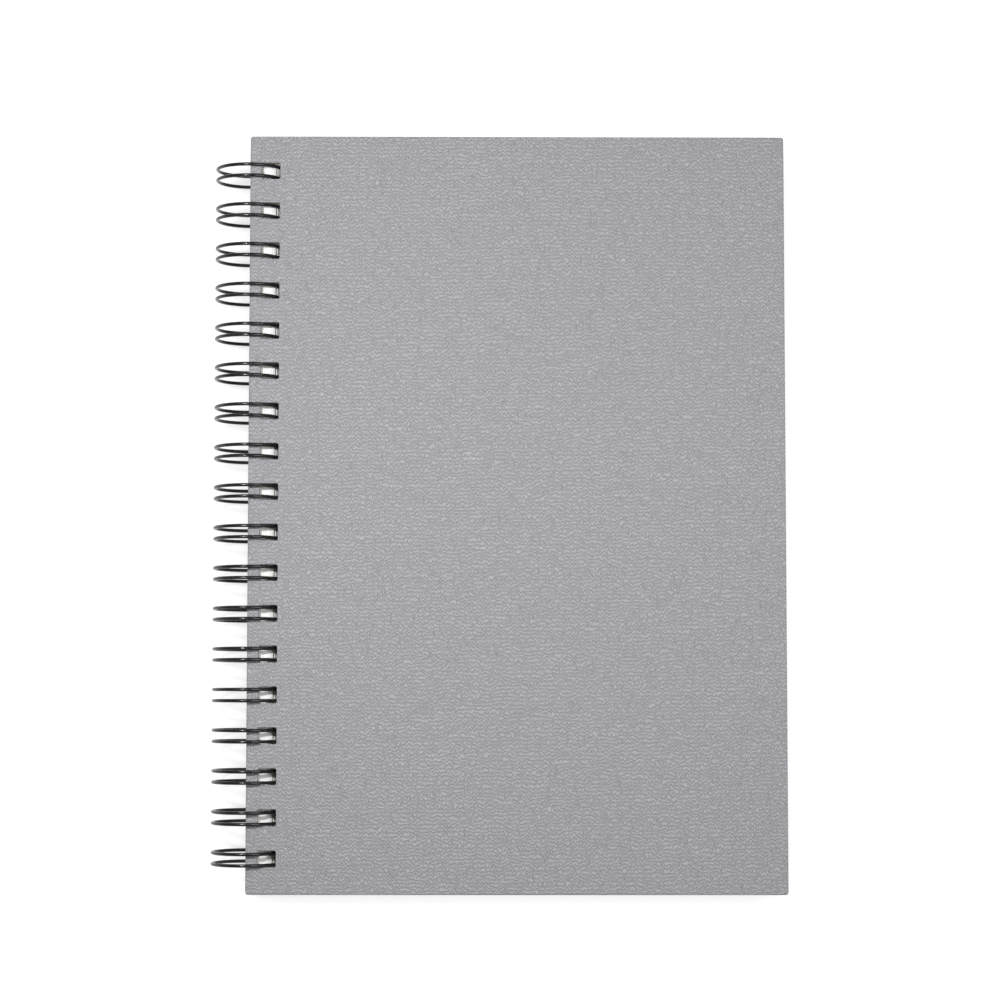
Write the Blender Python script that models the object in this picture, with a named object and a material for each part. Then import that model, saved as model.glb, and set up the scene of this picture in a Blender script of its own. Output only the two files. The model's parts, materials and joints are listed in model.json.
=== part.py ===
"""A wire-bound sketchbook with hard covers, closed and lying on its back cover.

+X runs from the spine to the fore-edge, +Y to the head, +Z up. The origin is under the middle
of the object's box. Every piece is modelled in the book's own frame, whose origin is the axis of
the round binding wire: x away from the spine, h square to the covers. An empty on that axis
carries the book and tips it by the small angle at which it lies on its wire and its fore-edge.
"""

import math

import bmesh
import bpy
from mathutils import Vector

MM = 0.001

# Binding wire: one black wire bent into twin loops.
TEETH = 18
PITCH = 12.7 * MM
RING_RADIUS = 10.5 * MM
WIRE_RADIUS = 0.55 * MM
TWIN_SPACING = 3.5 * MM
BEND_RADIUS = 0.9 * MM
END_STUB = 2.5 * MM
RING_START = math.radians(-67.5)
RING_END = math.radians(270)
RING_SEGMENTS = 15
TIP_SEGMENTS = 4
BEND_SEGMENTS = 2

# Covers: a board inside a wrap of leatherette that is turned in round its edges.
COVER_WIDTH = 168.5 * MM
COVER_LENGTH = 238.0 * MM
COVER_SPINE_X = 0.5 * MM
COVER_CORNER = 1.0 * MM
BOARD_THICKNESS = 2.0 * MM
WRAP_THICKNESS = 0.35 * MM
TURN_IN = 15.0 * MM
ENDPAPER_THICKNESS = 0.2 * MM
ENDPAPER_INSET = 3.0 * MM
GLUE_GAP = 0.05 * MM

# Leaves: single ones on top, bundles below.
LEAF_THICKNESS = 0.2 * MM
LEAF_GAP = 0.05 * MM
SINGLE_LEAVES = 4
BUNDLES = 9
LEAVES_PER_BUNDLE = 5
LEAF_WIDTH = 160.5 * MM
LEAF_INSET = 3.0 * MM

# The leaves hang on the ring by the spine side of their holes. The top one has slid back towards
# the spine, and each leaf or bundle below it by a fixed share of the slip of the one above.
LEAF_MARGIN = 3.3 * MM
RING_PLAY = 0.45 * MM
TOP_LEAF_SLIP = 2.85 * MM
SLIP_SHARE = 0.3

# Punched holes, one for each tooth.
HOLE_WIDTH = 5.8 * MM
HOLE_LENGTH = 5.2 * MM
COVER_HOLE_X = 4.1 * MM
CORNER_SEGMENTS = 2

# What follows from the sizes above.
COVER_THICKNESS = BOARD_THICKNESS + 2 * WRAP_THICKNESS + ENDPAPER_THICKNESS + 3 * GLUE_GAP
BUNDLE_THICKNESS = LEAVES_PER_BUNDLE * LEAF_THICKNESS
LEAF_NODES = SINGLE_LEAVES + BUNDLES
BLOCK_THICKNESS = (
    SINGLE_LEAVES * LEAF_THICKNESS + BUNDLES * BUNDLE_THICKNESS + (LEAF_NODES + 1) * LEAF_GAP
)
HALF_THICKNESS = BLOCK_THICKNESS / 2 + COVER_THICKNESS
COVER_FORE_X = COVER_SPINE_X + COVER_WIDTH
LEAF_LENGTH = COVER_LENGTH - 2 * LEAF_INSET
RING_OUTER = RING_RADIUS + WIRE_RADIUS
RING_INNER = RING_RADIUS - WIRE_RADIUS
REST_TILT = math.asin((RING_OUTER - HALF_THICKNESS) / COVER_FORE_X)
FORE_EDGE_REACH = COVER_FORE_X * math.cos(REST_TILT) + HALF_THICKNESS * math.sin(REST_TILT)
AXIS_X = (RING_OUTER - FORE_EDGE_REACH) / 2
AXIS_Z = RING_OUTER


def clear_scene():
    for item in list(bpy.data.objects):
        bpy.data.objects.remove(item, do_unlink=True)


def make_material(name, colour, roughness, metallic=0.0):
    material = bpy.data.materials.new(name)
    material.use_nodes = True
    shader = material.node_tree.nodes["Principled BSDF"]
    shader.inputs["Base Color"].default_value = (*colour, 1.0)
    shader.inputs["Roughness"].default_value = roughness
    shader.inputs["Metallic"].default_value = metallic
    return material


def add_empty(name, parent=None, location=(0, 0, 0), tilt=0.0):
    empty = bpy.data.objects.new(name, None)
    bpy.context.collection.objects.link(empty)
    empty.parent = parent
    empty.location = location
    empty.rotation_euler = (0, tilt, 0)
    return empty


def add_object(name, data, parent, material=None):
    item = bpy.data.objects.new(name, data)
    bpy.context.collection.objects.link(item)
    item.parent = parent
    if material:
        data.materials.append(material)
    return item


def add_slab(bm, low, high):
    """A box from low to high."""
    corners = [(low[0], low[1]), (high[0], low[1]), (high[0], high[1]), (low[0], high[1])]
    base = bm.faces.new([bm.verts.new((x, y, low[2])) for x, y in corners])
    top = bmesh.ops.extrude_face_region(bm, geom=[base])["geom"]
    lifted = [item for item in top if isinstance(item, bmesh.types.BMVert)]
    bmesh.ops.translate(bm, verts=lifted, vec=(0, 0, high[2] - low[2]))


def round_upright_edges(bm, radius):
    def is_upright(edge):
        start, end = edge.verts
        return abs(start.co.z - end.co.z) > radius

    bmesh.ops.bevel(
        bm,
        geom=[edge for edge in bm.edges if is_upright(edge)],
        offset=radius,
        segments=CORNER_SEGMENTS,
        profile=0.5,
        affect="EDGES",
    )


def finish_mesh(bm, name):
    bmesh.ops.recalc_face_normals(bm, faces=bm.faces)
    mesh = bpy.data.meshes.new(name)
    bm.to_mesh(mesh)
    bm.free()
    return mesh


def slab_mesh(name, low, high, corner=0.0):
    bm = bmesh.new()
    add_slab(bm, low, high)
    if corner:
        round_upright_edges(bm, corner)
    return finish_mesh(bm, name)


def tooth_y(tooth):
    return ((TEETH - 1) / 2 - tooth) * PITCH


def hole_cutter(name, near_x, parent):
    """One upright bar for each tooth, long enough to pass through the whole book."""
    bm = bmesh.new()
    for tooth in range(TEETH):
        low = (near_x, tooth_y(tooth) - HOLE_LENGTH / 2, -RING_OUTER)
        high = (near_x + HOLE_WIDTH, tooth_y(tooth) + HOLE_LENGTH / 2, RING_OUTER)
        add_slab(bm, low, high)
    return add_cutter(name, finish_mesh(bm, name), parent)


def add_cutter(name, mesh, parent):
    cutter = add_object(name, mesh, parent)
    cutter.hide_render = True
    cutter.display_type = "WIRE"
    return cutter


def cut(item, cutter):
    modifier = item.modifiers.new("cut_" + cutter.name, "BOOLEAN")
    modifier.operation = "DIFFERENCE"
    modifier.solver = "EXACT"
    modifier.object = cutter


def cover_box(inset, depth, outer, side):
    """Low and high corners of a layer of a cover: outer is its distance below the outside face."""
    half_length = COVER_LENGTH / 2 - inset
    faces = sorted(side * (HALF_THICKNESS - h) for h in (outer, outer + depth))
    low = (COVER_SPINE_X + inset, -half_length, faces[0])
    high = (COVER_FORE_X - inset, half_length, faces[1])
    return low, high


def add_cover(prefix, side, parent, holes, materials):
    """A cover's board, its wrap and its endpaper. side is 1 for the front and -1 for the back."""
    wall = WRAP_THICKNESS + GLUE_GAP

    board_low, board_high = cover_box(wall, BOARD_THICKNESS, wall, side)
    board = add_object(
        prefix + "_cover_board",
        slab_mesh(prefix + "_board", board_low, board_high),
        parent,
        materials["greyboard"],
    )
    cut(board, holes)

    wrap_depth = BOARD_THICKNESS + 2 * wall
    wrap_low, wrap_high = cover_box(0, wrap_depth, 0, side)
    wrap = add_object(
        prefix + "_cover_wrap",
        slab_mesh(prefix + "_wrap", wrap_low, wrap_high, COVER_CORNER),
        parent,
        materials["leatherette"],
    )
    pocket = cover_box(WRAP_THICKNESS, BOARD_THICKNESS + 2 * GLUE_GAP, WRAP_THICKNESS, side)
    window = cover_box(TURN_IN, wrap_depth, WRAP_THICKNESS + GLUE_GAP, side)
    cut(wrap, add_cutter(prefix + "_pocket", slab_mesh(prefix + "_pocket", *pocket), parent))
    cut(wrap, add_cutter(prefix + "_window", slab_mesh(prefix + "_window", *window), parent))
    cut(wrap, holes)

    paper_top = wrap_depth + GLUE_GAP
    paper = cover_box(ENDPAPER_INSET, ENDPAPER_THICKNESS, paper_top, side)
    endpaper = add_object(
        prefix + "_endpaper",
        slab_mesh(prefix + "_endpaper", *paper),
        parent,
        materials["endpaper"],
    )
    cut(endpaper, holes)


def leaf_layers():
    """Name and upper and lower face of each single leaf and bundle, from the top down."""
    upper = BLOCK_THICKNESS / 2 - LEAF_GAP
    layers = []
    for number in range(1, SINGLE_LEAVES + 1):
        layers.append((f"leaf_{number:02d}", upper, upper - LEAF_THICKNESS))
        upper -= LEAF_THICKNESS + LEAF_GAP
    for number in range(1, BUNDLES + 1):
        layers.append((f"leaf_bundle_{number:02d}", upper, upper - BUNDLE_THICKNESS))
        upper -= BUNDLE_THICKNESS + LEAF_GAP
    return layers


def leaf_hole_x(number, upper, lower):
    """Where a layer's holes begin: the ring's inner side at that height, less play and slip."""
    ring_x = math.sqrt(RING_INNER**2 - max(abs(upper), abs(lower)) ** 2)
    return ring_x - RING_PLAY - TOP_LEAF_SLIP * SLIP_SHARE**number


def add_leaf(name, hole_x, upper, lower, parent, book, material):
    spine_x = hole_x - LEAF_MARGIN
    low = (spine_x, -LEAF_LENGTH / 2, lower)
    high = (spine_x + LEAF_WIDTH, LEAF_LENGTH / 2, upper)
    leaf = add_object(name, slab_mesh(name, low, high), parent, material)
    cut(leaf, hole_cutter(name + "_holes", hole_x, book))


def ring_point(angle, y):
    return Vector((RING_RADIUS * math.cos(angle), y, RING_RADIUS * math.sin(angle)))


def bend_points(y, direction):
    """A quarter bend from the link, which runs along Y, into the ring at y."""
    points = []
    for step in range(BEND_SEGMENTS + 1):
        turn = math.pi / 2 * step / BEND_SEGMENTS
        rise = BEND_RADIUS * (1 - math.cos(turn)) / RING_RADIUS
        along = direction * BEND_RADIUS * (1 - math.sin(turn))
        points.append(ring_point(RING_START - BEND_RADIUS / RING_RADIUS + rise, y + along))
    return points


def ring_points(y):
    """The round part of one wire, without its two ends."""
    span = (RING_END - RING_START) / RING_SEGMENTS
    return [ring_point(RING_START + span * step, y) for step in range(1, RING_SEGMENTS)]


def tip_points(middle):
    """The half turn that joins the two wires of a tooth."""
    reach = TWIN_SPACING / 2
    points = []
    for step in range(TIP_SEGMENTS + 1):
        turn = math.pi * step / TIP_SEGMENTS
        angle = RING_END + reach / RING_RADIUS * math.sin(turn)
        points.append(ring_point(angle, middle + reach * math.cos(turn)))
    return points


def wire_route():
    first = tooth_y(0) + TWIN_SPACING / 2
    last = tooth_y(TEETH - 1) - TWIN_SPACING / 2
    link_angle = RING_START - BEND_RADIUS / RING_RADIUS
    route = [ring_point(link_angle, first + END_STUB)]
    for tooth in range(TEETH):
        middle = tooth_y(tooth)
        head_wire = middle + TWIN_SPACING / 2
        tail_wire = middle - TWIN_SPACING / 2
        route += bend_points(head_wire, 1)
        route += ring_points(head_wire)
        route += tip_points(middle)
        route += reversed(ring_points(tail_wire))
        route += reversed(bend_points(tail_wire, -1))
    route.append(ring_point(link_angle, last - END_STUB))
    return route


def add_wire(parent, material):
    curve = bpy.data.curves.new("twin_loop_wire", "CURVE")
    curve.dimensions = "3D"
    curve.bevel_depth = WIRE_RADIUS
    curve.bevel_resolution = 1
    curve.use_fill_caps = True
    route = wire_route()
    spline = curve.splines.new("POLY")
    spline.points.add(len(route) - 1)
    for point, place in zip(spline.points, route):
        point.co = (*place, 1.0)
    add_object("twin_loop_wire", curve, parent, material)


def main():
    clear_scene()
    materials = {
        "leatherette": make_material("leatherette_grey", (0.38, 0.38, 0.40), 0.62),
        "greyboard": make_material("greyboard", (0.36, 0.31, 0.26), 0.9),
        "endpaper": make_material("endpaper_white", (0.85, 0.84, 0.81), 0.8),
        "leaf": make_material("drawing_paper", (0.9, 0.89, 0.86), 0.85),
        "wire": make_material("black_wire", (0.012, 0.012, 0.014), 0.25, 0.6),
    }

    book = add_empty("book_axis", None, (AXIS_X, 0, AXIS_Z), REST_TILT)
    front_hinge = add_empty("front_cover_hinge", book)
    wire_axis = add_empty("wire_axis", book)
    cover_holes = hole_cutter("cover_holes", COVER_HOLE_X, book)

    add_cover("front", 1, front_hinge, cover_holes, materials)
    add_cover("back", -1, book, cover_holes, materials)
    for number, (name, upper, lower) in enumerate(leaf_layers()):
        carrier = add_empty(name + "_hinge", book) if number < SINGLE_LEAVES else book
        hole_x = leaf_hole_x(number, upper, lower)
        add_leaf(name, hole_x, upper, lower, carrier, book, materials["leaf"])
    add_wire(wire_axis, materials["wire"])


main()
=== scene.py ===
"""A wire-bound sketchbook with grey leatherette covers and a black twin-loop wire.

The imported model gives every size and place. Pieces are made in the book's own frame, whose
origin is the axis of the wire ring (x towards the fore-edge, z square to the covers), and are
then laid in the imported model's frame, tipped as the closed book lies.
"""

import json
import math
import random

import bmesh
import bpy
from bpy.props import FloatProperty, FloatVectorProperty, IntProperty, PointerProperty
from mathutils import Matrix, Vector


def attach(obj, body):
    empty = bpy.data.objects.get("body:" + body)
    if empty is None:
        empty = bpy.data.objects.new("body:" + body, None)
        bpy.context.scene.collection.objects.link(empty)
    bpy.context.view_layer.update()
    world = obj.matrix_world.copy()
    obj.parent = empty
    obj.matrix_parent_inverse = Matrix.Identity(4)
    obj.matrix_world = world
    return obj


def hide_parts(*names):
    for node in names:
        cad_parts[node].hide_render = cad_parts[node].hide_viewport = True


bl_info = {
    "name": "Wire-bound Sketchbook",
    "version": (1, 0, 0),
    "blender": (4, 5, 0),
    "location": "View3D > Sidebar > Sketchbook",
    "description": "Builds a hard-cover sketchbook bound with a twin-loop wire",
    "category": "Object",
}

MM = 0.001
QUARTER_TURN = math.pi / 2

# Two places closer than this count as one, and the finer one holds for cuts and level faces.
TOUCHING = 1e-6
LEVEL = 1e-7

# Faces that meet at less than this are shaded as one surface.
SMOOTH_ANGLE = math.radians(35)

# Segments of a rounded edge or corner.
COVER_STEPS = 5
LEAF_STEPS = 3

# Rim of a hole where the leatherette turns into it, on the outside and behind the board.
OUTER_RIM, OUTER_RIM_STEPS = 0.18 * MM, 3
INNER_RIM, INNER_RIM_STEPS = 0.12 * MM, 2
FLAT_INSET = 0.25 * MM

# An endpaper sinks by this much between the turned-in borders, over a short slope.
ENDPAPER_INSET = 3.0 * MM
ENDPAPER_SLOPE = 1.2 * MM
ENDPAPER_SINK = 0.3 * MM

# Air between two sheets of a bundle, and the seed of the scatter of the sheets.
SHEET_GAP = 0.008 * MM
SHEET_SEED = 12
# A sheet scatters less along the spine, because the wire keeps it there.
SCATTER_ALONG = 1 / 4

# Segments of a wire's bend, ring and hairpin end.
BEND_STEPS = 6
RING_STEPS = 72
TIP_STEPS = 12
# Share of a full wave that the lean of the loops goes through from head to tail.
LEAN_WAVE = 0.72

# Embossing of the leatherette, and how far the floor's painted shade reaches beside the book.
WRINKLE_PITCH = 1.22 * MM
FLOOR_SHADE = 14 * MM

CAMERA_TILT = math.radians(4.38)
CAMERA_YAW = math.radians(0.51)
CAMERA_AIM = (0.4 * MM, 4.4 * MM, 10.0 * MM)
FLOOR_REACH = 12.0

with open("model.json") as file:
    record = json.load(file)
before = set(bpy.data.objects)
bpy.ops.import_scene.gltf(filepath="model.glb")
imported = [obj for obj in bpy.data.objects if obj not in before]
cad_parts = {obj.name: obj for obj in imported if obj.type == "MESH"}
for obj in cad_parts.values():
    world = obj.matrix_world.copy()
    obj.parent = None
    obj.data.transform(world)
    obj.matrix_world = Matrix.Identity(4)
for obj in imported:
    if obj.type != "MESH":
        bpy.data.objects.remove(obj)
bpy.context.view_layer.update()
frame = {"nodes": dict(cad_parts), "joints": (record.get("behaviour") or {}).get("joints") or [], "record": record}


def joint(name):
    return next(item for item in frame["joints"] if item["name"] == name)


def book_matrix():
    """The book's frame in the model's frame: on the ring's axis, tipped as its back face is."""
    normal = frame["record"]["mounts"][0]["axis"]
    tilt = math.atan2(-normal[0], -normal[2])
    place = Matrix.Translation(joint("front_cover_hinge")["pos_m"])
    return place @ Matrix.Rotation(tilt, 4, "Y")


BOOK = book_matrix()


def book_box(node):
    """Low and high corners of a CAD node in the book's frame."""
    to_book = BOOK.inverted()
    points = [to_book @ vertex.co for vertex in frame["nodes"][node].data.vertices]
    low = Vector(min(point[axis] for point in points) for axis in range(3))
    high = Vector(max(point[axis] for point in points) for axis in range(3))
    return low, high


def ring_reach():
    """Outer radius of the ring."""
    low, high = book_box("twin_loop_wire")
    return (high.z - low.z) / 2


# --------------------------------------------------------------------------- settings


class SketchbookCoverSettings(bpy.types.PropertyGroup):
    colour: FloatVectorProperty(
        name="Leatherette", description="Colour of the leatherette", subtype="COLOR",
        default=(0.297, 0.297, 0.313),
    )
    board_colour: FloatVectorProperty(
        name="Board", description="Colour of the cut board in the holes", subtype="COLOR",
        default=(0.42, 0.36, 0.30),
    )
    skin: FloatProperty(
        name="Skin", description="Thickness of the leatherette", unit="LENGTH", default=0.35 * MM,
    )
    edge_radius: FloatProperty(
        name="Edge radius", description="Rounding where the leatherette turns over the board",
        unit="LENGTH", default=0.6 * MM,
    )
    corner_radius: FloatProperty(
        name="Corner radius", description="Rounding of the cover's four corners",
        unit="LENGTH", default=0.9 * MM,
    )
    turn_in: FloatProperty(
        name="Turn-in", description="Width of leatherette folded behind the board",
        unit="LENGTH", default=15 * MM,
    )


class SketchbookHoleSettings(bpy.types.PropertyGroup):
    count: IntProperty(name="Holes", description="Punched holes along the spine", default=18)
    pitch: FloatProperty(
        name="Pitch", description="Distance from hole to hole", unit="LENGTH", default=12.7 * MM,
    )
    width: FloatProperty(
        name="Width", description="Size of a hole across the spine", unit="LENGTH",
        default=5.8 * MM,
    )
    length: FloatProperty(
        name="Length", description="Size of a hole along the spine", unit="LENGTH",
        default=5.2 * MM,
    )
    corner: FloatProperty(
        name="Corner", description="Rounding of a hole's corners", unit="LENGTH",
        default=0.55 * MM,
    )
    cover_margin: FloatProperty(
        name="Cover margin", description="From the cover's spine edge to its holes",
        unit="LENGTH", default=3.6 * MM,
    )
    leaf_margin: FloatProperty(
        name="Leaf margin", description="From a leaf's spine edge to its holes",
        unit="LENGTH", default=3.3 * MM,
    )


class SketchbookPaperSettings(bpy.types.PropertyGroup):
    colour: FloatVectorProperty(
        name="Paper", description="Colour of the drawing paper", subtype="COLOR",
        default=(0.78, 0.778, 0.772),
    )
    endpaper_colour: FloatVectorProperty(
        name="Endpaper", description="Colour of the endpapers", subtype="COLOR",
        default=(0.84, 0.83, 0.80),
    )
    leaves_per_bundle: IntProperty(
        name="Leaves per bundle", description="Leaves that one bundle stands for", default=5,
    )
    stray: FloatProperty(
        name="Stray", description="How far a leaf may lie out of line", unit="LENGTH",
        default=0.12 * MM,
    )


class SketchbookWireSettings(bpy.types.PropertyGroup):
    colour: FloatVectorProperty(
        name="Wire", description="Colour of the wire's coating", subtype="COLOR",
        default=(0.010, 0.010, 0.011),
    )
    thickness: FloatProperty(
        name="Thickness", description="Diameter of the coated wire", unit="LENGTH",
        default=1.1 * MM,
    )
    spacing: FloatProperty(
        name="Twin spacing", description="Between the two wires of a loop", unit="LENGTH",
        default=3.5 * MM,
    )
    bend: FloatProperty(
        name="Bend radius", description="Bend from the link into the ring", unit="LENGTH",
        default=0.9 * MM,
    )
    start: FloatProperty(
        name="Ring start", description="Where the ring begins, from the fore-edge side",
        subtype="ANGLE", default=math.radians(-67.5),
    )
    end: FloatProperty(
        name="Ring end", description="Where the ring's round part ends", subtype="ANGLE",
        default=math.radians(270),
    )
    lean: FloatProperty(
        name="Lean", description="How far the loops lean along the spine", subtype="ANGLE",
        default=math.radians(1.3),
    )
    stub: FloatProperty(
        name="End stub", description="Cut ends past the first and last loop", unit="LENGTH",
        default=2.5 * MM,
    )


class SketchbookStageSettings(bpy.types.PropertyGroup):
    distance: FloatProperty(
        name="Camera distance", description="From the camera to the book", unit="LENGTH",
        default=0.890,
    )
    lens: FloatProperty(name="Lens", description="Focal length in millimetres", default=101.4)
    key_power: FloatProperty(name="Key light", description="Watts of the key light", default=1.48)
    side_power: FloatProperty(
        name="Side light", description="Watts of the soft light beside the fore-edge",
        default=1.95,
    )
    sky: FloatProperty(name="Sky", description="Strength of the white surroundings", default=0.2)
    glow: FloatProperty(
        name="Floor glow", description="Light that the floor gives off itself", default=1.06,
    )
    floor_colour: FloatVectorProperty(
        name="Floor", description="Colour of the floor", subtype="COLOR",
        default=(0.15, 0.15, 0.15),
    )


# --------------------------------------------------------------------------- materials


class NodeBuilder:
    """Adds nodes to a material and links them by socket name."""

    def __init__(self, name):
        self.material = bpy.data.materials.new(name)
        self.material.use_nodes = True
        self.tree = self.material.node_tree
        self.shader = self.tree.nodes["Principled BSDF"]

    def add(self, kind, inputs=None, **settings):
        node = self.tree.nodes.new(kind)
        for key, value in settings.items():
            setattr(node, key, value)
        for key, value in (inputs or {}).items():
            if isinstance(value, bpy.types.NodeSocket):
                self.tree.links.new(value, node.inputs[key])
            else:
                node.inputs[key].default_value = value
        return node

    def object_coordinates(self):
        return self.add("ShaderNodeTexCoord").outputs["Object"]

    def mapping(self, vector, **inputs):
        node = self.add("ShaderNodeMapping", {"Vector": vector, **inputs})
        return node.outputs["Vector"]

    def noise(self, vector, scale, detail=1.0, roughness=0.5):
        settings = {"Vector": vector, "Scale": scale, "Detail": detail, "Roughness": roughness}
        return self.add("ShaderNodeTexNoise", settings).outputs["Fac"]

    def math(self, operation, first, second=0.0):
        node = self.add("ShaderNodeMath", {0: first, 1: second}, operation=operation)
        return node.outputs[0]

    def plus(self, first, second, share):
        """The first value and a share of the second."""
        return self.math("ADD", first, self.math("MULTIPLY", second, share))

    def spread(self, value, low, high, to_low=0.0, to_high=1.0):
        node = self.add(
            "ShaderNodeMapRange",
            {
                "Value": value,
                "From Min": low,
                "From Max": high,
                "To Min": to_low,
                "To Max": to_high,
            },
        )
        return node.outputs["Result"]

    def blend_colours(self, factor, first, second):
        node = self.add("ShaderNodeMix", data_type="RGBA")
        sockets = [item for item in node.inputs if item.enabled]
        for socket, value in zip(sockets, (factor, first, second)):
            if isinstance(value, bpy.types.NodeSocket):
                self.tree.links.new(value, socket)
            else:
                socket.default_value = value
        return next(item for item in node.outputs if item.enabled)

    def bump(self, height, distance, strength, normal=None):
        inputs = {"Height": height, "Distance": distance, "Strength": strength}
        if normal is not None:
            inputs["Normal"] = normal
        return self.add("ShaderNodeBump", inputs).outputs["Normal"]

    def finish(self, **inputs):
        for key, value in inputs.items():
            socket = self.shader.inputs[key.replace("_", " ")]
            if isinstance(value, bpy.types.NodeSocket):
                self.tree.links.new(value, socket)
            else:
                socket.default_value = value
        return self.material


def shade(colour, factor):
    return (colour[0] * factor, colour[1] * factor, colour[2] * factor, 1.0)


def make_leatherette(colour):
    """Embossed leatherette: fine wavy wrinkles across the cover, broken into short ridges."""
    build = NodeBuilder("leatherette_grey")
    place = build.object_coordinates()

    # Noises that bend the wrinkles, break them up and let them sway, by so much along the spine.
    tilted = build.mapping(place, Scale=(1.0, 0.15, 0.15), Rotation=(0.4, 0.5, 0.0))
    bends = build.noise(tilted, 2000.0)
    tilted = build.mapping(place, Scale=(0.8, 1.0, 1.0), Rotation=(0.6, 0.5, 0.0))
    breaks = build.noise(tilted, 1000.0)
    sway = build.noise(place, 300.0)
    parts = build.add("ShaderNodeSeparateXYZ", {"Vector": place}).outputs
    along = build.plus(parts["Y"], parts["Z"], 0.7)
    along = build.plus(along, bends, 3.0 * MM)
    along = build.plus(along, breaks, 0.55 * MM)
    along = build.plus(along, sway, 1.2 * MM)
    wave = build.math("SINE", build.math("MULTIPLY", along, 2 * math.pi / WRINKLE_PITCH))

    # Wrinkles and pores as one height between about 0 and 1.
    strength = build.spread(breaks, 0.35, 0.6, 0.4, 0.5)
    pores = build.math("SUBTRACT", build.noise(place, 2600.0, 2.0, 0.6), 0.5)
    relief = build.math("ADD", build.math("MULTIPLY", wave, strength), 0.5)
    relief = build.math("ADD", relief, pores)

    # Painted shade and light: the colour is darkened in the hollows of the grain and lightened on the ridges. The
    # whole sheet is also faintly cloudy and wavy.
    uneven = build.noise(place, 14.0, 2.0)
    cloud = build.math("MULTIPLY", build.spread(uneven, 0.3, 0.7), 0.10)
    base = build.blend_colours(relief, shade(colour, 0.76), shade(colour, 1.22))
    base = build.blend_colours(cloud, base, shade(colour, 0.86))
    swell = build.bump(uneven, 0.25 * MM, 0.35)
    return build.finish(
        Base_Color=base,
        Roughness=build.spread(relief, 0.0, 1.0, 0.66, 0.50),
        Normal=build.bump(relief, 0.16 * MM, 0.9, swell),
        Specular_IOR_Level=0.4,
    )


def make_board(colour):
    """Raw cut greyboard, pressed in layers."""
    build = NodeBuilder("greyboard_cut")
    place = build.object_coordinates()
    layers = build.noise(build.mapping(place, Scale=(1.0, 1.0, 14.0)), 420.0, 4.0, 0.65)
    fibres = build.noise(place, 2400.0, 3.0, 0.7)
    mottle = build.spread(build.plus(layers, fibres, 0.5), 0.5, 1.0)
    return build.finish(
        Base_Color=build.blend_colours(mottle, shade(colour, 0.72), shade(colour, 1.18)),
        Roughness=0.92,
        Normal=build.bump(fibres, 0.12 * MM, 0.7),
        Specular_IOR_Level=0.2,
    )


def make_paper(name, colour, tooth):
    """Matt paper with a tooth this deep and a faint cloudy formation."""
    build = NodeBuilder(name)
    place = build.object_coordinates()
    formation = build.noise(place, 160.0, 3.0, 0.55)
    fibre = build.noise(place, 1900.0, 3.0, 0.6)
    blend = build.spread(build.plus(formation, fibre, 0.4), 0.45, 0.95)
    return build.finish(
        Base_Color=build.blend_colours(blend, shade(colour, 0.965), shade(colour, 1.02)),
        Roughness=0.88,
        Normal=build.bump(fibre, tooth, 0.6),
        Specular_IOR_Level=0.25,
    )


def make_wire_coating(colour):
    """Glossy black coating over steel wire, a little uneven and here and there duller."""
    build = NodeBuilder("black_wire_coating")
    place = build.object_coordinates()
    orange_peel = build.noise(place, 1500.0, 2.0)
    wear = build.noise(place, 260.0, 3.0, 0.6)
    return build.finish(
        Base_Color=build.blend_colours(
            build.spread(wear, 0.35, 0.75), shade(colour, 0.8), shade(colour, 1.9)
        ),
        Roughness=build.spread(wear, 0.3, 0.7, 0.17, 0.26),
        Normal=build.bump(orange_peel, 0.04 * MM, 0.4),
        Specular_IOR_Level=0.42,
    )


def make_floor(colour):
    """Pale floor that glows evenly, with painted shade: its glow dims in the narrow space beside the book."""
    build = NodeBuilder("pale_floor")
    glow = bpy.context.scene.sketchbook_stage.glow
    # Painted shade: ambient occlusion dims the floor's glow next to the book, a painted contact shadow round it.
    occlusion = build.add("ShaderNodeAmbientOcclusion", {"Distance": FLOOR_SHADE}, samples=16)
    openness = occlusion.outputs["AO"]
    return build.finish(
        Base_Color=shade(colour, 1.0),
        Roughness=0.9,
        Specular_IOR_Level=0.1,
        Emission_Color=(1.0, 1.0, 1.0, 1.0),
        Emission_Strength=build.spread(openness, 0.45, 1.0, glow * 0.65, glow),
    )


MATERIALS = {}


def material(name):
    """The named material, made once from the scene's settings."""
    scene = bpy.context.scene
    makers = {
        "leatherette": lambda: make_leatherette(scene.sketchbook_cover.colour),
        "board": lambda: make_board(scene.sketchbook_cover.board_colour),
        "endpaper": lambda: make_paper(
            "endpaper_white", scene.sketchbook_paper.endpaper_colour, 0.03 * MM
        ),
        "leaf": lambda: make_paper("drawing_paper", scene.sketchbook_paper.colour, 0.05 * MM),
        "wire": lambda: make_wire_coating(scene.sketchbook_wire.colour),
        "floor": lambda: make_floor(scene.sketchbook_stage.floor_colour),
    }
    if name not in MATERIALS:
        MATERIALS[name] = makers[name]()
    return MATERIALS[name]


# --------------------------------------------------------------------------- modelling


def all_parts(bm):
    return bm.verts[:] + bm.edges[:] + bm.faces[:]


def slice_at(bm, axis, places, geometry=None):
    """Cut edges into the mesh where it crosses each place along an axis."""
    normal = Vector((0, 0, 0))
    normal[axis] = 1
    for place in places:
        parts = geometry(bm) if geometry else all_parts(bm)
        bmesh.ops.bisect_plane(
            bm, geom=parts, dist=LEVEL, plane_co=normal * place, plane_no=normal
        )


def hole_centres():
    """Places of the holes along the spine, from the head down."""
    holes = bpy.context.scene.sketchbook_holes
    first = (holes.count - 1) / 2
    return [(first - number) * holes.pitch for number in range(holes.count)]


def hole_edges():
    half = bpy.context.scene.sketchbook_holes.length / 2
    return [centre + side * half for centre in hole_centres() for side in (-1, 1)]


def in_hole(point, near_x):
    holes = bpy.context.scene.sketchbook_holes
    if not near_x < point.x < near_x + holes.width:
        return False
    return any(abs(point.y - centre) < holes.length / 2 for centre in hole_centres())


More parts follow.
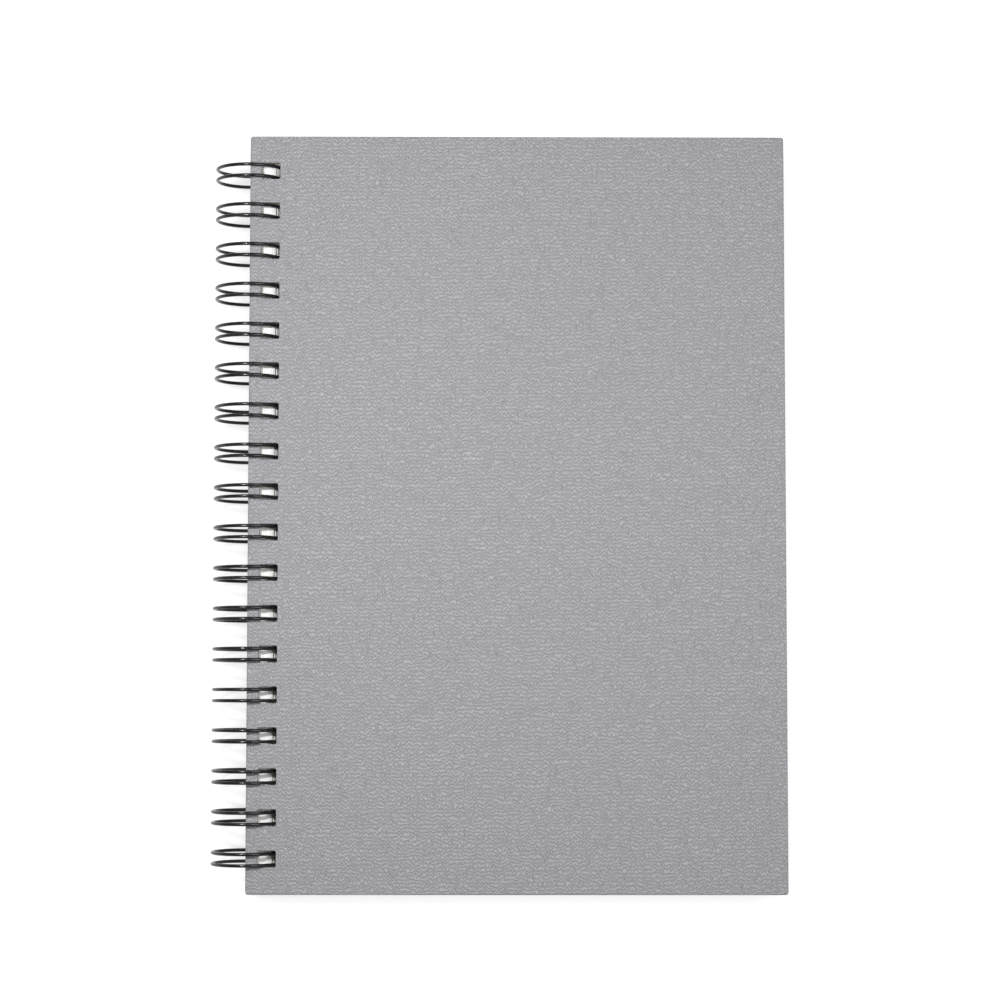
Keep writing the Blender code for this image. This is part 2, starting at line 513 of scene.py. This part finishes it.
def is_upright(edge):
    span = edge.verts[1].co - edge.verts[0].co
    return abs(span.z) > TOUCHING and span.to_2d().length < TOUCHING


def bevel_edges(bm, edges, width, segments):
    return bmesh.ops.bevel(
        bm,
        geom=list(edges),
        offset=width,
        offset_type="OFFSET",
        segments=segments,
        profile=0.5,
        affect="EDGES",
        material=-1,
        clamp_overlap=True,
    )


def unique_parts(faces):
    """Faces with their edges and vertices, each once and always in the same order."""
    return list(dict.fromkeys(part for face in faces for part in (face, *face.edges, *face.verts)))


def punched_slab(low, high, near_x, steps, corner=0.0):
    """A slab from low to high with the row of round-cornered square holes punched through it."""
    holes = bpy.context.scene.sketchbook_holes
    far_x = near_x + holes.width
    bm = bmesh.new()
    size = high - low
    place = Matrix.Translation(((low.x + high.x) / 2, (low.y + high.y) / 2, high.z))
    place = place @ Matrix.Diagonal((size.x, size.y, 1, 1))
    bmesh.ops.create_grid(bm, x_segments=1, y_segments=1, size=0.5, matrix=place)

    def hole_column(mesh):
        faces = mesh.faces
        return unique_parts(f for f in faces if near_x < f.calc_center_median().x < far_x)

    def at_hole(edge):
        x = edge.verts[0].co.x
        return abs(x - near_x) < TOUCHING or abs(x - far_x) < TOUCHING

    def at_corner(edge):
        point = edge.verts[0].co
        on_x = min(abs(point.x - low.x), abs(point.x - high.x)) < TOUCHING
        on_y = min(abs(point.y - low.y), abs(point.y - high.y)) < TOUCHING
        return on_x and on_y

    slice_at(bm, 0, (near_x, far_x))
    slice_at(bm, 1, hole_edges(), hole_column)
    punched = [face for face in bm.faces if in_hole(face.calc_center_median(), near_x)]
    bmesh.ops.delete(bm, geom=punched, context="FACES")
    lowered = bmesh.ops.extrude_face_region(bm, geom=bm.faces[:])["geom"]
    moved = [part for part in lowered if isinstance(part, bmesh.types.BMVert)]
    bmesh.ops.translate(bm, verts=moved, vec=(0, 0, -size.z))
    bmesh.ops.recalc_face_normals(bm, faces=bm.faces)
    bevel_edges(bm, [e for e in bm.edges if is_upright(e) and at_hole(e)], holes.corner, steps)
    if corner:
        bevel_edges(bm, [e for e in bm.edges if is_upright(e) and at_corner(e)], corner, steps)
    return bm


def make_piece(name, bm, finish, smooth_angle=SMOOTH_ANGLE):
    """The bmesh, laid from the book's frame into the row's, as an object with its material."""
    mesh = bpy.data.meshes.new(name)
    bm.transform(BOOK)
    bm.to_mesh(mesh)
    bm.free()
    piece = bpy.data.objects.new(name, mesh)
    bpy.context.collection.objects.link(piece)
    mesh.materials.append(material(finish))
    mesh.shade_smooth()
    mesh.set_sharp_from_angle(angle=smooth_angle)
    return piece


def settle(piece, body, nodes):
    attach(piece, body)
    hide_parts(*nodes)


# --------------------------------------------------------------------------- covers


def level_edges(bm, height, loop_test):
    """Edges at a height that a wall hangs from, among those that pass a test."""
    found = []
    for edge in bm.edges:
        if any(abs(vertex.co.z - height) > TOUCHING for vertex in edge.verts):
            continue
        walls = [face for face in edge.link_faces if abs(face.normal.z) < 0.5]
        if walls and loop_test(edge):
            found.append(edge)
    return found


def near_any_hole(edge, near_x):
    """Whether an edge lies round a hole rather than along the outside of the slab."""
    holes = bpy.context.scene.sketchbook_holes
    middle = (edge.verts[0].co + edge.verts[1].co) / 2
    in_width = abs(middle.x - near_x - holes.width / 2) < holes.width / 2 + TOUCHING
    return in_width and any(
        abs(middle.y - centre) < holes.length / 2 + TOUCHING for centre in hole_centres()
    )


def cut_window(bm, low, high, inset):
    """Take the middle out of the lower face, which leaves the turned-in border."""

    def at_bottom(face):
        return all(abs(vertex.co.z - low.z) < TOUCHING for vertex in face.verts)

    def bottom_parts(mesh):
        return unique_parts(face for face in mesh.faces if at_bottom(face))

    left, right = low.x + inset, high.x - inset
    near, far = low.y + inset, high.y - inset
    slice_at(bm, 0, (left, right), bottom_parts)
    slice_at(bm, 1, (near, far), bottom_parts)
    window = []
    for face in bm.faces:
        middle = face.calc_center_median()
        if at_bottom(face) and left < middle.x < right and near < middle.y < far:
            window.append(face)
    bmesh.ops.delete(bm, geom=window, context="FACES")


def wrap_mesh(low, high):
    """The leatherette as a sheet: outer face, turned edges and the border behind the board."""
    cover = bpy.context.scene.sketchbook_cover
    holes = bpy.context.scene.sketchbook_holes
    near_x = low.x + holes.cover_margin
    bm = punched_slab(low, high, near_x, COVER_STEPS, cover.corner_radius)

    def round_hole(edge):
        return near_any_hole(edge, near_x)

    def round_outside(edge):
        return not near_any_hole(edge, near_x)

    for level in (low.z, high.z):
        bevel_edges(bm, level_edges(bm, level, round_outside), cover.edge_radius, COVER_STEPS)
    bevel_edges(bm, level_edges(bm, high.z, round_hole), OUTER_RIM, OUTER_RIM_STEPS)
    bevel_edges(bm, level_edges(bm, low.z, round_hole), INNER_RIM, INNER_RIM_STEPS)

    # The leatherette is punched with the board, so it leaves the holes' walls bare.
    walls = [
        face
        for face in bm.faces
        if abs(face.normal.z) < 0.05
        and face.calc_center_median().x < near_x + holes.width + TOUCHING
        and round_hole(max(face.edges, key=lambda edge: edge.calc_length()))
    ]
    bmesh.ops.delete(bm, geom=walls, context="FACES")
    flat_top = [face for face in bm.faces if abs(face.calc_center_median().z - high.z) < LEVEL]
    bmesh.ops.inset_region(bm, faces=flat_top, thickness=FLAT_INSET, use_even_offset=True)
    cut_window(bm, low, high, cover.turn_in)
    return bm


def flip_to_back(bm):
    """Turn a piece made for the front cover into its mirror image for the back cover."""
    bmesh.ops.scale(bm, vec=(1, 1, -1), verts=bm.verts)
    bmesh.ops.reverse_faces(bm, faces=bm.faces)


def sink_window(bm, low, high):
    """Let the middle of an endpaper sink between the turned-in borders that it is pasted over."""
    outer = bpy.context.scene.sketchbook_cover.turn_in - ENDPAPER_INSET
    for offset in (outer, outer + ENDPAPER_SLOPE / 2, outer + ENDPAPER_SLOPE):
        slice_at(bm, 0, (low.x + offset, high.x - offset))
        slice_at(bm, 1, (low.y + offset, high.y - offset))
    for vertex in bm.verts:
        x, y = vertex.co.xy
        inside = min(x - low.x, high.x - x, y - low.y, high.y - y)
        sunk = min(max((inside - outer) / ENDPAPER_SLOPE, 0.0), 1.0)
        vertex.co.z += sunk * ENDPAPER_SINK


def add_cover(side):
    """Wrap, board and endpaper of one cover. side is "front" or "back"."""
    cover = bpy.context.scene.sketchbook_cover
    holes = bpy.context.scene.sketchbook_holes
    body = side + "_cover"

    def front_box(node):
        """The node's box, mirrored to the front when it belongs to the back cover."""
        low, high = book_box(node)
        if side == "back":
            low.z, high.z = -high.z, -low.z
        return low, high

    def cover_piece(name, bm, finish, smooth_angle=SMOOTH_ANGLE):
        if side == "back":
            flip_to_back(bm)
        return make_piece(side + name, bm, finish, smooth_angle)

    low, high = front_box(side + "_cover_wrap")
    near_x = low.x + holes.cover_margin
    wrap = cover_piece("_leatherette", wrap_mesh(low, high), "leatherette")
    skin = wrap.modifiers.new("skin_thickness", "SOLIDIFY")
    skin.thickness = cover.skin
    skin.offset = -1.0
    settle(wrap, body, [side + "_cover_wrap"])

    low, high = front_box(side + "_cover_board")
    board = cover_piece("_board", punched_slab(low, high, near_x, COVER_STEPS), "board")
    settle(board, body, [side + "_cover_board"])

    low, high = front_box(side + "_endpaper")
    bm = punched_slab(low, high, near_x, COVER_STEPS)
    sink_window(bm, low, high)
    endpaper = cover_piece("_endpaper_sheet", bm, "endpaper", math.radians(60))
    settle(endpaper, body, [side + "_endpaper"])


# --------------------------------------------------------------------------- leaves


def add_leaf_nodes():
    """Every CAD leaf and bundle as single sheets, each a hair out of line with the next."""
    paper = bpy.context.scene.sketchbook_paper
    holes = bpy.context.scene.sketchbook_holes
    chance = random.Random(SHEET_SEED)
    for name in sorted(name for name in frame["nodes"] if name.startswith("leaf_")):
        low, high = book_box(name)
        single = not name.startswith("leaf_bundle")
        count = 1 if single else paper.leaves_per_bundle
        pitch = (high.z - low.z) / count
        stack = bmesh.new()
        for number in range(count):
            top = Vector((high.x, high.y, low.z + pitch * (number + 1) - SHEET_GAP))
            bottom = Vector((low.x, low.y, low.z + pitch * number))
            sheet = punched_slab(bottom, top, low.x + holes.leaf_margin, LEAF_STEPS)
            across = chance.uniform(-1, 1) * paper.stray
            along = chance.uniform(-1, 1) * paper.stray * SCATTER_ALONG
            bmesh.ops.translate(sheet, verts=sheet.verts, vec=(across, along, 0))
            mesh = bpy.data.meshes.new("sheet")
            sheet.to_mesh(mesh)
            sheet.free()
            stack.from_mesh(mesh)
            bpy.data.meshes.remove(mesh)
        piece = make_piece(name + "_paper", stack, "leaf")
        settle(piece, name if single else "back_cover", [name])


# --------------------------------------------------------------------------- wire


def ring_point(radius, angle, y):
    return Vector((radius * math.cos(angle), y, radius * math.sin(angle)))


def wire_route():
    """Points along the whole wire, from the stub at the head to the stub at the tail."""
    wire = bpy.context.scene.sketchbook_wire
    radius = ring_reach() - wire.thickness / 2
    half = wire.spacing / 2
    link_angle = wire.start - wire.bend / radius
    centres = hole_centres()

    def leaned(points, number):
        """The loops lean to the head along most of the spine, and to the tail near the tail."""
        share = number / (len(centres) - 1)
        slope = math.tan(wire.lean * math.sin(2 * math.pi * LEAN_WAVE * share))
        return [point + Vector((0, point.z * slope, 0)) for point in points]

    def bend(y, direction):
        """The quarter bend from the link, which runs along the spine, into the ring at y."""
        points = []
        for step in range(BEND_STEPS + 1):
            turn = QUARTER_TURN / BEND_STEPS * step
            rise = wire.bend * (1 - math.cos(turn)) / radius
            along = direction * wire.bend * (1 - math.sin(turn))
            points.append(ring_point(radius, link_angle + rise, y + along))
        return points

    def ring(y):
        """The round part of one wire, without its two ends."""
        span = (wire.end - wire.start) / RING_STEPS
        return [ring_point(radius, wire.start + span * step, y) for step in range(1, RING_STEPS)]

    def tip(middle):
        """The hairpin that joins the two wires of a loop."""
        points = []
        for step in range(TIP_STEPS + 1):
            turn = math.pi * step / TIP_STEPS
            angle = wire.end + half / radius * math.sin(turn)
            points.append(ring_point(radius, angle, middle + half * math.cos(turn)))
        return points

    route = [ring_point(radius, link_angle, centres[0] + half + wire.stub)]
    for number, centre in enumerate(centres):
        loop = bend(centre + half, 1) + ring(centre + half) + tip(centre)
        loop += ring(centre - half)[::-1] + bend(centre - half, -1)[::-1]
        route += leaned(loop, number)
    route.append(ring_point(radius, link_angle, centres[-1] - half - wire.stub))
    return route


def add_wire():
    wire = bpy.context.scene.sketchbook_wire
    curve = bpy.data.curves.new("binding_wire", "CURVE")
    curve.dimensions = "3D"
    curve.bevel_depth = wire.thickness / 2
    curve.bevel_resolution = 4
    curve.use_fill_caps = True
    route = [BOOK @ point for point in wire_route()]
    spline = curve.splines.new("POLY")
    spline.points.add(len(route) - 1)
    for point, place in zip(spline.points, route):
        point.co = (*place, 1.0)
    spline.use_smooth = True
    piece = bpy.data.objects.new("binding_wire", curve)
    bpy.context.collection.objects.link(piece)
    curve.materials.append(material("wire"))
    settle(piece, "wire", ["twin_loop_wire"])


# --------------------------------------------------------------------------- stage


def add_area_light(name, place, size, power):
    """A white square light that points at the middle of the floor."""
    light = bpy.data.lights.new(name, "AREA")
    light.shape = "SQUARE"
    light.size = size
    light.energy = power
    lamp = bpy.data.objects.new(name, light)
    bpy.context.collection.objects.link(lamp)
    lamp.location = place
    lamp.visible_camera = False
    lamp.rotation_euler = (-Vector(place)).to_track_quat("-Z", "Y").to_euler()


def add_floor():
    bm = bmesh.new()
    bmesh.ops.create_grid(bm, x_segments=1, y_segments=1, size=FLOOR_REACH)
    mesh = bpy.data.meshes.new("floor")
    bm.to_mesh(mesh)
    bm.free()
    floor = bpy.data.objects.new("floor", mesh)
    bpy.context.collection.objects.link(floor)
    mesh.materials.append(material("floor"))


def add_camera():
    stage = bpy.context.scene.sketchbook_stage
    camera = bpy.data.objects.new("camera", bpy.data.cameras.new("camera"))
    camera.data.lens = stage.lens
    camera.data.sensor_width = 36.0
    camera.data.clip_start = 0.01
    camera.data.clip_end = 20.0
    bpy.context.collection.objects.link(camera)
    turn = Matrix.Rotation(CAMERA_TILT, 4, "X") @ Matrix.Rotation(CAMERA_YAW, 4, "Y")
    backwards = turn @ Vector((0, 0, 1))
    place = Vector(CAMERA_AIM) + backwards * stage.distance
    camera.matrix_world = Matrix.Translation(place) @ turn
    bpy.context.scene.camera = camera


def set_world():
    world = bpy.data.worlds.new("studio")
    world.use_nodes = True
    background = world.node_tree.nodes["Background"]
    background.inputs["Color"].default_value = (1.0, 1.0, 1.0, 1.0)
    background.inputs["Strength"].default_value = bpy.context.scene.sketchbook_stage.sky
    bpy.context.scene.world = world


# --------------------------------------------------------------------------- add-on


class SKETCHBOOK_OT_front_cover(bpy.types.Operator):
    """Make the front cover: leatherette, board and endpaper"""

    bl_idname = "sketchbook.front_cover"
    bl_label = "Front Cover"

    def execute(self, context):
        add_cover("front")
        return {"FINISHED"}


class SKETCHBOOK_OT_back_cover(bpy.types.Operator):
    """Make the back cover: leatherette, board and endpaper"""

    bl_idname = "sketchbook.back_cover"
    bl_label = "Back Cover"

    def execute(self, context):
        add_cover("back")
        return {"FINISHED"}


class SKETCHBOOK_OT_leaves(bpy.types.Operator):
    """Make the drawing-paper leaves"""

    bl_idname = "sketchbook.leaves"
    bl_label = "Leaves"

    def execute(self, context):
        add_leaf_nodes()
        return {"FINISHED"}


class SKETCHBOOK_OT_wire(bpy.types.Operator):
    """Bend the twin-loop binding wire"""

    bl_idname = "sketchbook.wire"
    bl_label = "Binding Wire"

    def execute(self, context):
        add_wire()
        return {"FINISHED"}


class SKETCHBOOK_OT_stage(bpy.types.Operator):
    """Set up the floor, the lights and the camera"""

    bl_idname = "sketchbook.stage"
    bl_label = "Stage"

    def execute(self, context):
        stage = context.scene.sketchbook_stage
        add_floor()
        set_world()
        add_area_light("key", (-0.14, 0.07, 0.42), 0.03, stage.key_power)
        add_area_light("side", (0.28, 0, 0.52), 0.3, stage.side_power)
        add_camera()
        context.scene.view_settings.view_transform = "Standard"
        return {"FINISHED"}


class SKETCHBOOK_PT_panel(bpy.types.Panel):
    """Lists the sketchbook's pieces"""

    bl_idname = "SKETCHBOOK_PT_panel"
    bl_label = "Sketchbook"
    bl_space_type = "VIEW_3D"
    bl_region_type = "UI"
    bl_category = "Sketchbook"

    def draw(self, context):
        for operator in OPERATORS:
            self.layout.operator(operator.bl_idname)
        for group in SETTINGS:
            settings = getattr(context.scene, group)
            for key in settings.bl_rna.properties.keys():
                if key not in ("name", "rna_type"):
                    self.layout.prop(settings, key)


OPERATORS = (
    SKETCHBOOK_OT_front_cover,
    SKETCHBOOK_OT_back_cover,
    SKETCHBOOK_OT_leaves,
    SKETCHBOOK_OT_wire,
    SKETCHBOOK_OT_stage,
)
SETTINGS = {
    "sketchbook_cover": SketchbookCoverSettings,
    "sketchbook_holes": SketchbookHoleSettings,
    "sketchbook_paper": SketchbookPaperSettings,
    "sketchbook_wire": SketchbookWireSettings,
    "sketchbook_stage": SketchbookStageSettings,
}


def register():
    for name, group in SETTINGS.items():
        bpy.utils.register_class(group)
        setattr(bpy.types.Scene, name, PointerProperty(type=group))
    for operator in OPERATORS:
        bpy.utils.register_class(operator)
    bpy.utils.register_class(SKETCHBOOK_PT_panel)


def unregister():
    bpy.utils.unregister_class(SKETCHBOOK_PT_panel)
    for operator in reversed(OPERATORS):
        bpy.utils.unregister_class(operator)
    for name, group in SETTINGS.items():
        delattr(bpy.types.Scene, name)
        bpy.utils.unregister_class(group)


def main():
    register()
    bpy.ops.sketchbook.front_cover()
    bpy.ops.sketchbook.back_cover()
    bpy.ops.sketchbook.leaves()
    bpy.ops.sketchbook.wire()
    bpy.ops.sketchbook.stage()
    bpy.context.view_layer.update()


if __name__ == "__main__":
    main()
